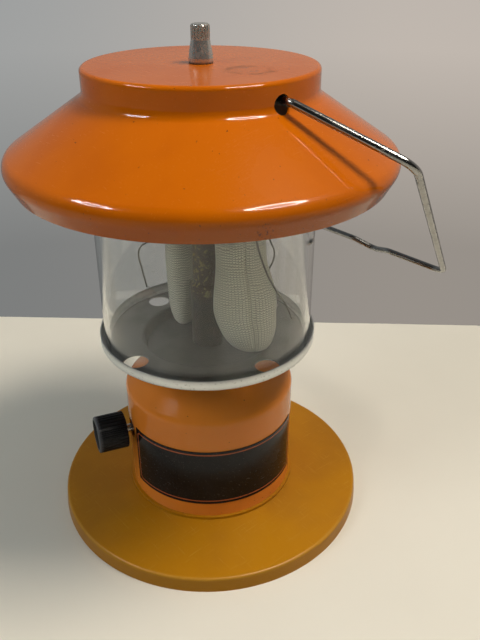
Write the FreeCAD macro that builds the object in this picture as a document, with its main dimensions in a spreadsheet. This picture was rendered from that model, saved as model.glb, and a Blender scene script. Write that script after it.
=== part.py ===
"""Double-mantle gas camping lantern standing on its moulded base, modelled piece by piece.

The frame has its origin at the middle of the base's underside, +Z up.  The bail pivots along Y and
lies folded towards +X.  Lengths are in millimetres, angles in degrees.
"""
import FreeCAD, Part
import math
import os
import re

import Sketcher

SIZES = {
    # moulded base
    "base_radius": 97.0, "base_draft": 0.8, "base_thickness": 9.3, "base_wall": 2.5,
    "base_edge_round": 1.6, "deck_rise": 3.4, "ring_margin": 1.8, "ring_rise": 1.8, "lip_rise": 4.0,
    "lip_wall": 1.5, "rib_count": 12, "rib_width": 2.0, "rib_lift": 2.0, "fit_gap": 0.35,
    # drawn body shell and its label
    "shell_radius": 52.1, "shell_height": 94.7, "shell_wall": 0.9, "wall_height": 69.5,
    "shoulder_round": 6.0, "crown_radius": 27.0, "crown_round": 8.0,
    "label_low": 9.9, "label_high": 49.8, "label_span": 130.0, "label_turn": 236.5,
    "label_thickness": 0.3, "label_gap": 0.15,
    # gas valve and its knob
    "valve_height": 88.3, "valve_radius": 14.0, "flange_radius": 17.0, "flange_thickness": 8.0,
    "inlet_radius": 17.0, "inlet_height": 24.0, "thread_radius": 12.7, "thread_depth": 20.0,
    "neck_radius": 7.0, "neck_rise": 6.0, "boss_radius": 8.0, "boss_reach": 27.0,
    "stem_height": 42.5, "stem_radius": 2.5, "stem_gap": 0.3, "stem_start": 6.0, "stem_hole": 6.2,
    "packing_flats": 14.0, "packing_length": 8.0, "knob_turn": 160.0, "knob_gap": 3.6,
    "knob_radius": 11.3, "knob_length": 18.2, "knob_socket": 12.0, "knob_edge_round": 1.0,
    "knob_dish": 1.6, "knob_dish_margin": 1.9, "flute_count": 30, "flute_radius": 0.7,
    # globe plate and glass
    "plate_wall": 0.8, "plate_step": 6.2, "plate_lip": 5.4, "well_radius": 37.0, "well_slope": 2.0,
    "air_hole": 6.75, "air_ring": 51.5, "air_count": 4, "thread_gap": 0.1, "globe_radius": 61.5,
    "globe_height": 117.3, "glass": 2.6, "globe_gap": 1.8, "glass_round": 0.9,
    # burner
    "tube_radius": 7.9, "tube_bore": 6.0, "sleeve_radius": 9.4, "sleeve_height": 39.0, "hub_drop": 19.5,
    "hub_radius": 9.0, "hub_height": 16.0, "arm_rise": 10.0, "arm_radius": 5.0, "elbow_radius": 12.0,
    "cap_radius": 9.0, "cap_height": 9.0, "cap_bore": 5.0, "groove_depth": 1.0, "groove_low": 3.0,
    "groove_width": 2.4, "mantle_radius": 18.0, "mantle_clear": 2.1, "mantle_neck": 9.5,
    "mantle_gap": 0.8, "mantle_round": 14.0, "mantle_shoulder": 26.0, "soft_gap": 0.3,
    # stud, heat shield and chimney ring
    "stud_radius": 3.0, "stud_reach": 15.0, "shield_lift": 8.0, "shield_flats": 11.0,
    "shield_wall": 0.8, "shield_gap": 7.4, "shield_droop": 4.0, "shield_flat": 18.0,
    "chimney_height": 36.4, "chimney_wall": 0.8, "chimney_lip": 5.0, "chimney_lip_gap": 0.4,
    "collar_gap": 6.1, "vent_count": 12, "vent_radius": 4.0, "vent_height": 11.0,
    # hat
    "hat_radius": 98.4, "hat_height": 56.3, "hat_wall": 1.0, "rim_flare": 7.1, "skirt_height": 13.0,
    "rim_round": 7.0, "hem_height": 3.0, "hem_round": 0.8, "collar_radius": 60.3, "collar_base": 43.0,
    "collar_round": 2.0, "root_round": 5.0, "hat_turn": -1.8, "pivot_hole": 4.7, "pivot_drop": 10.5,
    "wire_rise": 1.2,
    # bail
    "wire_radius": 2.0, "wire_gap": 0.25, "pin_inside": 7.2, "pin_outside": 4.0, "bail_flare": 17.6,
    "flare_reach": 35.0, "bail_half": 63.0, "bail_length": 201.0, "bail_angle": 41.0,
    "pin_round": 4.0, "flare_round": 11.0, "bar_round": 12.0, "kink_half": 16.0, "kink_depth": 8.0,
    "kink_round": 9.0,
    # finial nut
    "finial_radius": 6.2, "finial_step": 2.5, "finial_waist": 11.0, "finial_top_radius": 4.8,
    "finial_height": 18.4, "finial_dome": 1.4, "knurl_count": 18, "knurl_radius": 0.45, "knurl_height": 6.5,
    "finial_bore": 16.0, "running_gap": 0.3,
    # mantle tie strings
    "string_radius": 0.5,
}

# heights above the ground and radii that several pieces share
LEDGE = "(base_thickness + deck_rise + ring_rise)"
SHELL_TOP = f"({LEDGE} + shell_height)"
VALVE_FOOT = f"({SHELL_TOP} - shell_wall - valve_height)"
WELL_FLOOR = f"({SHELL_TOP} + plate_wall)"
GLASS_FOOT = f"({WELL_FLOOR} + plate_step)"
GLASS_TOP = f"({GLASS_FOOT} + globe_height)"
HUB_FOOT = f"({GLASS_TOP} - hub_drop)"
CAP_TOP = f"({HUB_FOOT} + arm_rise - elbow_radius)"
HUB_TOP = f"({HUB_FOOT} + hub_height)"
CHIMNEY_TOP = f"({GLASS_TOP} + chimney_height)"
HAT_TOP = f"({CHIMNEY_TOP} + hat_wall)"
HAT_FOOT = f"({HAT_TOP} - hat_height)"
PIVOT = f"({HAT_TOP} - pivot_drop + wire_rise)"
STEM_Z = f"({LEDGE} + stem_height)"
PLATE_RADIUS = "(globe_radius + globe_gap + plate_wall)"
CHIMNEY_RADIUS = "(collar_radius - hat_wall - collar_gap)"
MANTLE_OFFSET = "(tube_radius + mantle_clear + mantle_radius)"
KNOB_START = "(shell_radius + label_thickness + knob_gap)"

# routes of the loose tie strings, from the tie under a burner cap to the free end
STRING_ROUTES = {
    "tie_string_back": [(-10.5, 28, 201), (-15.9, 27.5, 188), (-19.4, 27.5, 171.5), (-23, 33, 168),
                        (-24.1, 34.5, 162), (-22.9, 33.5, 154.5), (-21, 32, 141)],
    "tie_string_short": [(10.5, -28, 201), (17.5, -28, 193), (21.5, -29, 180), (25, -32.6, 169.5),
                         (21.6, -29.8, 161.5)],
    "tie_string_long": [(-0.9, -38.5, 201), (-1.2, -41.7, 193), (-1.9, -45.8, 184), (1.9, -48.3, 170),
                        (11.4, -46.7, 156), (24, -40.8, 144), (34.2, -37.4, 127.5)],
}
BEND_SHARE = 0.45

doc = FreeCAD.newDocument("lantern")
sheet = doc.addObject("Spreadsheet::Sheet", "sizes")
for row, (alias, size) in enumerate(SIZES.items(), start=1):
    sheet.set(f"A{row}", alias)
    sheet.set(f"B{row}", str(size))
    sheet.setAlias(f"B{row}", alias)
doc.recompute()

NODES = []


def cells(text):
    """Expression text with every size name turned into its sheet cell."""
    return re.sub(r"[a-z_]+", lambda word: f"sizes.{word[0]}" if word[0] in SIZES else word[0], text)


def value(text):
    """Number that an expression of size names comes to."""
    return float(sheet.evalExpression(cells(text)))


def bind(thing, **expressions):
    """Tie properties of an object to expressions of size names."""
    for name, text in expressions.items():
        thing.setExpression(name.replace("__", "."), cells(text))


def finish(thing, label, z="0", turn=None):
    """Name a finished sub-part and stand it at its height, turned about the upright axis."""
    thing.Label = label
    if turn is not None:
        spin = FreeCAD.Rotation(FreeCAD.Vector(0, 0, 1), value(turn))
        thing.Placement = FreeCAD.Placement(FreeCAD.Vector(), spin)
        bind(thing, Placement__Rotation__Angle=turn)
    bind(thing, Placement__Base__z=z)
    NODES.append(thing)


def new_body(label):
    return doc.addObject("PartDesign::Body", label + "_body")


def origin(body, role):
    return next(item for item in body.Origin.OriginFeatures if item.Role == role)


def new_sketch(body, name, plane, lift=None):
    """Empty sketch on one of the body's own planes, lifted along its normal where asked."""
    sketch = body.newObject("Sketcher::SketchObject", name)
    sketch.AttachmentSupport = [(origin(body, plane), "")]
    sketch.MapMode = "FlatFace"
    if lift:
        bind(sketch, AttachmentOffset__Base__z=lift)
    return sketch


def fix_point(sketch, index, pos, spot):
    """Hold a sketch point at a pair of expressions, with zero meaning on the axis."""
    for kind, axis, text in (("DistanceX", -2, spot[0]), ("DistanceY", -1, spot[1])):
        if text == "0":
            sketch.addConstraint(Sketcher.Constraint("PointOnObject", index, pos, axis))
        else:
            held = Sketcher.Constraint(kind, -1, 1, index, pos, value(text))
            number = sketch.addConstraint(held)
            sketch.setExpression(f"Constraints[{number}]", cells(text))


def outline(sketch, points, closed=True):
    """Straight runs through the points; a point with a third entry is rounded to that radius."""
    count = len(points)
    spots = [FreeCAD.Vector(value(point[0]), value(point[1]), 0) for point in points]
    starts, ends, arcs = list(spots), list(spots), {}
    for index, point in enumerate(points):
        if len(point) < 3:
            continue
        back = (spots[index - 1] - spots[index]).normalize()
        ahead = (spots[(index + 1) % count] - spots[index]).normalize()
        half = back.getAngle(ahead) / 2
        radius = value(point[2])
        reach = radius / math.tan(half)
        ends[index] = spots[index] + back * reach
        starts[index] = spots[index] + ahead * reach
        middle = (back + ahead).normalize()
        bulge = spots[index] + middle * (radius / math.sin(half) - radius)
        turns_left = back.cross(ahead).z < 0
        tips = (ends[index], starts[index]) if turns_left else (starts[index], ends[index])
        arcs[index] = (Part.Arc(tips[0], bulge, tips[1]), 1 if turns_left else 2)
    runs = count if closed else count - 1
    for index in range(runs):
        sketch.addGeometry(Part.LineSegment(starts[index], ends[(index + 1) % count]), False)
    for index, point in enumerate(points):
        before = (index - 1) % count
        if index in arcs:
            shape, first = arcs[index]
            arc = sketch.addGeometry(shape, False)
            corner = sketch.addGeometry(Part.Point(spots[index]), True)
            sketch.addConstraint(Sketcher.Constraint("PointOnObject", corner, 1, before))
            sketch.addConstraint(Sketcher.Constraint("PointOnObject", corner, 1, index))
            sketch.addConstraint(Sketcher.Constraint("Tangent", before, 2, arc, first))
            sketch.addConstraint(Sketcher.Constraint("Tangent", arc, 3 - first, index, 1))
            number = sketch.addConstraint(Sketcher.Constraint("Radius", arc, value(point[2])))
            sketch.setExpression(f"Constraints[{number}]", cells(point[2]))
            fix_point(sketch, corner, 1, point)
        elif closed or 0 < index < runs:
            sketch.addConstraint(Sketcher.Constraint("Coincident", before, 2, index, 1))
            fix_point(sketch, index, 1, point)
        elif index == 0:
            fix_point(sketch, 0, 1, point)
        else:
            fix_point(sketch, runs - 1, 2, point)


def circle(sketch, radius, x="0", y="0"):
    """Circle held by its radius and centre."""
    centre = FreeCAD.Vector(value(x), value(y), 0)
    index = sketch.addGeometry(Part.Circle(centre, FreeCAD.Vector(0, 0, 1), value(radius)), False)
    number = sketch.addConstraint(Sketcher.Constraint("Radius", index, value(radius)))
    sketch.setExpression(f"Constraints[{number}]", cells(radius))
    fix_point(sketch, index, 3, (x, y))


def revolve(body, name, points, axis="V_Axis", angle=None):
    """Turned solid of an outline in the XZ plane, about the upright (V) or level (H) axis."""
    sketch = new_sketch(body, name + "_profile", "XZ_Plane")
    outline(sketch, points)
    turned = body.newObject("PartDesign::Revolution", name)
    turned.Profile = sketch
    turned.ReferenceAxis = (sketch, [axis])
    turned.Angle = 360
    if angle:
        turned.Midplane = True
        bind(turned, Angle=angle)
    doc.recompute()
    return turned


def pad(body, name, sketch, length, symmetric=False, back=False):
    padded = body.newObject("PartDesign::Pad", name)
    padded.Profile = sketch
    padded.SideType = "Symmetric" if symmetric else "One side"
    padded.Reversed = back
    bind(padded, Length=length)
    doc.recompute()
    return padded


def pocket(body, name, sketch, length, symmetric=False, back=False):
    """Cut of a sketch; raises if it takes nothing away."""
    before = body.Shape.Volume
    cut = body.newObject("PartDesign::Pocket", name)
    cut.Profile = sketch
    cut.SideType = "Symmetric" if symmetric else "One side"
    cut.Reversed = back
    bind(cut, Length=length)
    doc.recompute()
    if cut.Shape.Volume >= before - 1e-6:
        raise RuntimeError(f"{body.Name}: {name} cuts nothing")
    return cut


def polar(body, name, feature, count, axis="Z_Axis"):
    """Copies of a feature evenly round an axis of the body."""
    pattern = body.newObject("PartDesign::PolarPattern", name)
    pattern.Originals = [feature]
    pattern.Axis = (origin(body, axis), [""])
    pattern.Angle = 360
    bind(pattern, Occurrences=count)
    body.Tip = pattern
    doc.recompute()
    return pattern


def open_shell(body, name, solid, wall):
    """Sheet-metal shell of a turned solid, open at its flat underside."""
    low = min(range(len(solid.Shape.Faces)), key=lambda n: solid.Shape.Faces[n].CenterOfMass.z)
    shell = body.newObject("PartDesign::Thickness", name)
    shell.Base = (solid, [f"Face{low + 1}"])
    shell.Reversed = True
    bind(shell, Value=wall)
    doc.recompute()
    return shell


def hex_nut(label, flats, height, bore, z):
    """Hexagon nut standing on its face round the upright axis."""
    block = doc.addObject("Part::Prism", label + "_block")
    block.Polygon = 6
    bind(block, Circumradius=f"{flats} / sqrt(3)", Height=height)
    hole = doc.addObject("Part::Cylinder", label + "_hole")
    bind(hole, Radius=bore, Height=height)
    nut = doc.addObject("Part::Cut", label + "_nut")
    nut.Base = block
    nut.Tool = hole
    finish(nut, label, z)


def make_base_stand():
    body = new_body("base_stand")
    lip = "(shell_radius - shell_wall - fit_gap)"
    ring = "shell_radius + ring_margin"
    well = f"({lip} - lip_wall)"
    deck = "(base_thickness - base_wall)"
    deck_root = f"({deck} + deck_rise)"
    skirt = "(base_radius - base_wall)"
    hub = f"({well} + base_wall)"
    revolve(body, "disc", [
        ("0", "0"), (hub, "0"), (hub, deck_root), (skirt, deck), (skirt, "0"),
        ("base_radius", "0"), ("base_radius - base_draft", "base_thickness", "base_edge_round"),
        (ring, "base_thickness + deck_rise"), (ring, LEDGE), (lip, LEDGE),
        (lip, f"{LEDGE} + lip_rise"), (well, f"{LEDGE} + lip_rise"),
        (well, "base_wall"), ("0", "base_wall")])
    sketch = new_sketch(body, "rib_outline", "XZ_Plane")
    inner, outer = f"{hub} - base_wall / 2", f"{skirt} + base_wall / 2"
    outline(sketch, [(inner, "rib_lift"), (outer, "rib_lift"), (outer, f"{deck} + base_wall / 2"),
                     (inner, f"{deck_root} + base_wall / 2")])
    rib = pad(body, "rib", sketch, "rib_width", symmetric=True)
    polar(body, "ribs", rib, "rib_count")
    finish(body, "base_stand")


def make_body_shell():
    body = new_body("body_shell")
    solid = revolve(body, "cup", [
        ("0", "0"), ("shell_radius", "0"), ("shell_radius", "wall_height", "shoulder_round"),
        ("crown_radius", "shell_height", "crown_round"), ("0", "shell_height")])
    open_shell(body, "cup_wall", solid, "shell_wall")
    sketch = new_sketch(body, "neck_hole_outline", "XY_Plane", "shell_height + 1")
    circle(sketch, "neck_radius + thread_gap")
    pocket(body, "neck_hole", sketch, "shell_wall + 2")
    sketch = new_sketch(body, "stem_hole_outline", "YZ_Plane")
    circle(sketch, "stem_hole", "0", "stem_height")
    pocket(body, "stem_opening", sketch, "shell_radius + 1", back=True)
    finish(body, "body_shell", LEDGE, "knob_turn")


def make_label_panel():
    body = new_body("label_panel")
    inner = "shell_radius + label_gap"
    outer = "shell_radius + label_gap + label_thickness"
    revolve(body, "panel", [
        (inner, "label_low"), (outer, "label_low"), (outer, "label_high"), (inner, "label_high")],
        angle="label_span")
    finish(body, "label_panel", LEDGE, "label_turn")


def make_valve():
    body = new_body("valve_body")
    neck_top = "valve_height + shell_wall + plate_wall + neck_rise"
    revolve(body, "turned", [
        ("0", "thread_depth"), ("thread_radius", "thread_depth"), ("thread_radius", "0"),
        ("inlet_radius", "0"), ("inlet_radius", "inlet_height"), ("valve_radius", "inlet_height"),
        ("valve_radius", "valve_height - flange_thickness"),
        ("flange_radius", "valve_height - flange_thickness"), ("flange_radius", "valve_height"),
        ("neck_radius", "valve_height"), ("neck_radius", neck_top), ("0", neck_top)])
    stem = f"({STEM_Z} - {VALVE_FOOT})"
    sketch = new_sketch(body, "boss_outline", "YZ_Plane")
    circle(sketch, "boss_radius", "0", stem)
    pad(body, "boss", sketch, "boss_reach")
    sketch = new_sketch(body, "stem_bore_outline", "YZ_Plane")
    circle(sketch, "stem_radius + stem_gap", "0", stem)
    pocket(body, "stem_bore", sketch, "boss_reach + 1", back=True)
    finish(body, "valve_body", VALVE_FOOT, "knob_turn")

    body = new_body("packing_nut")
    sketch = new_sketch(body, "hexagon", "YZ_Plane", "boss_reach")
    corner, half, flat = "packing_flats / sqrt(3)", "packing_flats / sqrt(12)", "packing_flats / 2"
    outline(sketch, [(corner, "0"), (half, flat), (f"-{half}", flat), (f"-{corner}", "0"),
                     (f"-{half}", f"-{flat}"), (half, f"-{flat}")])
    circle(sketch, "stem_radius + stem_gap")
    pad(body, "nut", sketch, "packing_length")
    finish(body, "packing_nut", STEM_Z, "knob_turn")

    body = new_body("valve_stem")
    end = f"{KNOB_START} + knob_socket"
    revolve(body, "rod", [("stem_start", "0"), (end, "0"), (end, "stem_radius"),
                          ("stem_start + stem_radius", "stem_radius")], axis="H_Axis")
    finish(body, "valve_stem", STEM_Z, "knob_turn")


def make_valve_knob():
    body = new_body("valve_knob")
    end = f"({KNOB_START} + knob_length)"
    dish = "(knob_radius - knob_dish_margin)"
    revolve(body, "grip", [
        (KNOB_START, "stem_radius"), (KNOB_START, "knob_radius", "knob_edge_round"),
        (end, "knob_radius", "knob_edge_round"), (end, dish), (f"{end} - knob_dish", dish),
        (f"{end} - knob_dish", "0"), (f"{KNOB_START} + knob_socket", "0"),
        (f"{KNOB_START} + knob_socket", "stem_radius")], axis="H_Axis")
    sketch = new_sketch(body, "flute_outline", "YZ_Plane", f"{KNOB_START} - 1")
    circle(sketch, "flute_radius", "0", "knob_radius")
    flute = pocket(body, "flute", sketch, "knob_length - 0.2", back=True)
    polar(body, "flutes", flute, "flute_count", "X_Axis")
    finish(body, "valve_knob", STEM_Z, "knob_turn")


def make_globe_plate():
    body = new_body("globe_plate")
    bore = "neck_radius + thread_gap"
    low, high = "plate_step", "plate_step + plate_wall"
    lip = "plate_step + plate_wall + plate_lip"
    slope = "well_radius + well_slope"
    revolve(body, "dish", [
        (bore, "0"), ("well_radius + plate_wall", "0", "2 * plate_wall"),
        (f"{slope} + plate_wall", low, "plate_wall"), (PLATE_RADIUS, low, "2 * plate_wall"),
        (PLATE_RADIUS, lip), (f"{PLATE_RADIUS} - plate_wall", lip),
        (f"{PLATE_RADIUS} - plate_wall", high, "plate_wall"), (slope, high, "2 * plate_wall"),
        ("well_radius", "plate_wall", "plate_wall"), (bore, "plate_wall")])
    sketch = new_sketch(body, "air_hole_outline", "XY_Plane", f"{high} + 1")
    circle(sketch, "air_hole", "air_ring", "0")
    hole = pocket(body, "air_opening", sketch, "plate_wall + 2")
    polar(body, "air_openings", hole, "air_count")
    finish(body, "globe_plate", SHELL_TOP)


def make_globe():
    body = new_body("globe")
    inner = "globe_radius - glass"
    revolve(body, "glass_tube", [
        (inner, "0", "glass_round"), ("globe_radius", "0", "glass_round"),
        ("globe_radius", "globe_height", "glass_round"), (inner, "globe_height", "glass_round")])
    finish(body, "globe", GLASS_FOOT)


def make_burner_tube():
    """Pipe whose wider sleeve screws on to the valve's neck and clamps the plate."""
    body = new_body("burner_tube")
    top = f"({HUB_FOOT} - {WELL_FLOOR})"
    socket, socket_top = "neck_radius + thread_gap", "neck_rise + thread_gap"
    revolve(body, "pipe", [
        (socket, "0"), ("sleeve_radius", "0"), ("sleeve_radius", "sleeve_height"),
        ("tube_radius", "sleeve_height + sleeve_radius - tube_radius"), ("tube_radius", top),
        ("tube_bore", top), ("tube_bore", socket_top), (socket, socket_top)])
    finish(body, "burner_tube", WELL_FLOOR)


def make_burner_manifold():
    """Cast hub with two level arms that turn down to the burner caps."""
    hub = doc.addObject("Part::Cylinder", "manifold_hub")
    bind(hub, Radius="hub_radius", Height="hub_height")
    pieces = [hub]
    for side, facing in (("front", -90), ("back", 90)):
        level = FreeCAD.Rotation(FreeCAD.Vector(0, 0, 1), facing)
        arm = doc.addObject("Part::Cylinder", f"manifold_arm_{side}")
        arm.Placement.Rotation = level.multiply(FreeCAD.Rotation(FreeCAD.Vector(0, 1, 0), 90))
        bind(arm, Radius="arm_radius", Height=f"{MANTLE_OFFSET} - elbow_radius",
             Placement__Base__z="arm_rise")
        elbow = doc.addObject("Part::Torus", f"manifold_elbow_{side}")
        elbow.Angle3 = 90
        elbow.Placement.Rotation = level.multiply(FreeCAD.Rotation(FreeCAD.Vector(1, 0, 0), 90))
        reach = f"({MANTLE_OFFSET} - elbow_radius)"
        bind(elbow, Radius1="elbow_radius", Radius2="arm_radius",
             Placement__Base__y=reach if facing > 0 else f"-{reach}",
             Placement__Base__z="arm_rise - elbow_radius")
        pieces += [arm, elbow]
    manifold = doc.addObject("Part::MultiFuse", "manifold")
    manifold.Shapes = pieces
    manifold.Refine = True
    finish(manifold, "burner_manifold", HUB_FOOT)


def make_burner_end(side, sign):
    """Burner cap with its tie groove, and the cloth mantle that hangs from it."""
    body = new_body(f"burner_cap_{side}")
    groove = "cap_radius - groove_depth"
    groove_top = "groove_low + groove_width"
    revolve(body, "cap", [
        ("cap_bore", "0"), ("cap_radius", "0"), ("cap_radius", "groove_low"), (groove, "groove_low"),
        (groove, groove_top), ("cap_radius", groove_top), ("cap_radius", "cap_height"),
        ("cap_bore", "cap_height")])
    finish(body, f"burner_cap_{side}", f"{CAP_TOP} - cap_height")
    bind(body, Placement__Base__y=sign + MANTLE_OFFSET)

    body = new_body(f"mantle_{side}")
    foot = f"({GLASS_FOOT} + mantle_gap)"
    top = f"({CAP_TOP} - cap_height - soft_gap - {foot})"
    revolve(body, "bag", [
        ("0", "0"), ("mantle_radius", "0", "mantle_round"),
        ("mantle_radius", f"{top} - mantle_shoulder", "mantle_round"), ("mantle_neck", top), ("0", top)])
    finish(body, f"mantle_{side}", foot)
    bind(body, Placement__Base__y=sign + MANTLE_OFFSET)


def make_stud_and_shield():
    body = new_body("top_stud")
    top = f"({HAT_TOP} + stud_reach - {HUB_TOP})"
    revolve(body, "rod", [("0", "0"), ("stud_radius", "0"), ("stud_radius", f"{top} - stud_radius / 3"),
                          ("stud_radius * 2 / 3", top), ("0", top)])
    finish(body, "top_stud", HUB_TOP)
    bore = "stud_radius + thread_gap"
    hex_nut("shield_nut", "shield_flats", "shield_lift", bore, HUB_TOP)
    body = new_body("heat_shield")
    edge = f"{CHIMNEY_RADIUS} - chimney_wall - shield_gap"
    level = "shield_droop"
    revolve(body, "disc", [
        (bore, level), ("shield_flat", level), (edge, "0"), (edge, "shield_wall"),
        ("shield_flat", f"{level} + shield_wall"), (bore, f"{level} + shield_wall")])
    finish(body, "heat_shield", f"{HUB_TOP} + shield_lift - shield_droop")


def make_chimney_ring():
    """Sheet ring that stands on the glass, carries the hat and holds the bail's pins."""
    body = new_body("chimney_ring")
    inner = f"({CHIMNEY_RADIUS} - chimney_wall)"
    lip = "(globe_radius + chimney_lip_gap)"
    sole = "chimney_lip"
    top = "(chimney_lip + chimney_height)"
    revolve(body, "ring", [
        (inner, sole), (lip, sole), (lip, "0"), (f"{lip} + chimney_wall", "0"),
        (f"{lip} + chimney_wall", f"{sole} + chimney_wall", "chimney_wall"),
        (CHIMNEY_RADIUS, f"{sole} + chimney_wall"), (CHIMNEY_RADIUS, top), (inner, top)])
    sketch = new_sketch(body, "vent_outline", "YZ_Plane")
    circle(sketch, "vent_radius", "0", f"{sole} + vent_height")
    vent = pocket(body, "vent", sketch, f"{CHIMNEY_RADIUS} + 1", back=True)
    polar(body, "vents", vent, "vent_count")
    sketch = new_sketch(body, "pin_outline", "XZ_Plane")
    circle(sketch, "wire_radius + wire_gap", "0", f"{PIVOT} - {GLASS_TOP} + {sole}")
    pocket(body, "pin_holes", sketch, f"2 * {CHIMNEY_RADIUS} + 2", symmetric=True)
    finish(body, "chimney_ring", f"{GLASS_TOP} - chimney_lip")


def make_hat():
    """Spun hat: curled skirt with a folded hem, sloping brim and collar, one sheet thick."""
    body = new_body("hat")
    corner = "(hat_radius + rim_flare)"
    slope = f"((collar_base - skirt_height) / ({corner} - collar_radius))"
    lean = "(rim_flare / skirt_height)"
    fall = f"(hat_wall * sqrt({slope} * {slope} + 1))"
    inset = f"(hat_wall * sqrt({lean} * {lean} + 1))"
    bore, collar = "stud_radius + running_gap", "collar_radius - hat_wall"
    rim, hem = f"(hat_radius - {inset})", f"(hat_radius - 2 * {inset})"
    bend_z = f"((skirt_height + {slope} * ({corner} - {rim}) - {fall}) / (1 + {slope} * {lean}))"
    revolve(body, "crown", [
        (hem, "0"), ("hat_radius", "0", "hem_round"), (corner, "skirt_height", "rim_round"),
        ("collar_radius", "collar_base", "root_round"),
        ("collar_radius", "hat_height", "collar_round"), (bore, "hat_height"),
        (bore, "hat_height - hat_wall"),
        (collar, "hat_height - hat_wall", "collar_round - hat_wall"),
        (collar, f"collar_base + {slope} * hat_wall - {fall}", "root_round + hat_wall"),
        (f"{rim} + {lean} * {bend_z}", bend_z, "rim_round - hat_wall"),
        (f"{rim} + {lean} * hem_height", "hem_height"), (f"{hem} + {lean} * hem_height", "hem_height")])
    sketch = new_sketch(body, "pivot_outline", "XZ_Plane")
    circle(sketch, "pivot_hole", "0", "hat_height - pivot_drop")
    pocket(body, "pivot_holes", sketch, "2 * collar_radius + 4", symmetric=True)
    finish(body, "hat", HAT_FOOT, "hat_turn")


def make_bail():
    """Bent wire handle: pins through the collar, flared arms and a bar with a hanging kink."""
    body = new_body("bail")
    pin = f"({CHIMNEY_RADIUS} - pin_inside)"
    bend, flare = "(collar_radius + pin_outside)", "(hat_radius + bail_flare)"
    half_path = [
        ("0", pin), ("0", bend, "pin_round"), ("flare_reach", flare, "flare_round"),
        ("bail_length", "bail_half", "bar_round"), ("bail_length", "kink_half", "kink_round")]
    mirrored = [(point[0], f"-{point[1]}", *point[2:]) for point in half_path]
    kink = [("bail_length + kink_depth", "0", "kink_round")]
    spine = new_sketch(body, "wire_path", "XY_Plane")
    outline(spine, mirrored + kink + half_path[::-1], closed=False)
    section = new_sketch(body, "wire_section", "XZ_Plane", pin)
    circle(section, "wire_radius")
    doc.recompute()
    wire = body.newObject("PartDesign::AdditivePipe", "wire")
    wire.Profile = section
    wire.Spine = (spine, [f"Edge{n + 1}" for n in range(len(spine.Shape.Edges))])
    doc.recompute()
    body.Placement.Rotation = FreeCAD.Rotation(FreeCAD.Vector(0, 1, 0), value("bail_angle"))
    bind(body, Placement__Rotation__Angle="bail_angle")
    finish(body, "bail", PIVOT)


def make_finial_nut():
    body = new_body("finial_nut")
    bore = "stud_radius + running_gap"
    revolve(body, "nut", [
        (bore, "0"), ("finial_radius", "0"), ("finial_radius", "finial_step"),
        ("finial_top_radius", "finial_waist"),
        ("finial_top_radius", "finial_height", "finial_dome"), ("0", "finial_height"),
        ("0", "finial_bore"), (bore, "finial_bore")])
    sketch = new_sketch(body, "knurl_outline", "XY_Plane", "finial_height - knurl_height")
    circle(sketch, "knurl_radius", "finial_top_radius", "0")
    knurl = pocket(body, "knurl", sketch, "knurl_height", back=True)
    polar(body, "knurls", knurl, "knurl_count")
    finish(body, "finial_nut", HAT_TOP)


def cord_path(points):
    """Straight runs joined by tangent arcs as large as their runs allow, with the arcs' radii."""
    edges, radii, start = [], [], points[0]
    for before, corner, after in zip(points, points[1:], points[2:]):
        back, ahead = before - corner, after - corner
        turn = math.pi - back.getAngle(ahead)
        reach = BEND_SHARE * min(back.Length, ahead.Length)
        radius = reach / math.tan(turn / 2)
        first = corner + FreeCAD.Vector(back).normalize() * reach
        second = corner + FreeCAD.Vector(ahead).normalize() * reach
        inward = (FreeCAD.Vector(back).normalize() + FreeCAD.Vector(ahead).normalize()).normalize()
        middle = corner + inward * (radius / math.cos(turn / 2) - radius)
        edges.append(Part.LineSegment(start, first).toShape())
        edges.append(Part.Arc(first, middle, second).toShape())
        radii.append(radius)
        start = second
    edges.append(Part.LineSegment(start, points[-1]).toShape())
    return Part.Wire(edges), radii


def make_tie_strings():
    for label, route in STRING_ROUTES.items():
        points = [FreeCAD.Vector(*spot) for spot in route]
        path, radii = cord_path(points)
        facing = points[1] - points[0]
        ring = Part.Wire(Part.Circle(points[0], facing, value("string_radius")).toShape())
        tube = path.makePipeShell([ring], True, False)
        wanted = math.pi * value("string_radius") ** 2 * path.Length
        print(f"{label}: length {path.Length:.1f} mm, radii",
              ", ".join(f"{radius:.1f}" for radius in radii),
              f"volume {tube.Volume:.2f} of {wanted:.2f}")
        string = doc.addObject("Part::Feature", label + "_tube")
        string.Shape = tube
        string.Label = label
        NODES.append(string)


def main():
    make_base_stand()
    make_body_shell()
    make_label_panel()
    make_valve()
    make_valve_knob()
    make_globe_plate()
    make_globe()
    make_burner_tube()
    make_burner_manifold()
    for side, sign in (("front", "-"), ("back", "")):
        make_burner_end(side, sign)
    make_stud_and_shield()
    make_chimney_ring()
    make_hat()
    make_bail()
    make_finial_nut()
    make_tie_strings()
    doc.recompute()
    failed = [item.Name for item in doc.Objects if {"Invalid", "Error"} & set(item.State)]
    failed += [node.Label for node in NODES if node.Shape.isNull() or not node.Shape.isValid()]
    if failed:
        raise RuntimeError("failed: " + ", ".join(failed))
    os.makedirs("parts", exist_ok=True)
    for node in NODES:
        node.Shape.exportStep(f"parts/{node.Label}.step")
    print(len(NODES), "sub-parts written")


main()
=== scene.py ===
# %% [markdown]
# # A gas camping lantern, dressed around its construction
# The construction gives every rigid piece at its real size, in metres, with the origin in the middle
# of the base's underside.  The rigid shapes could be modelled again here, but then two models would
# have to be kept the same.  So they are loaded as they are, and this lesson gives them their finishes
# and makes the cloth and the strings that hang inside the glass.

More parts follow.
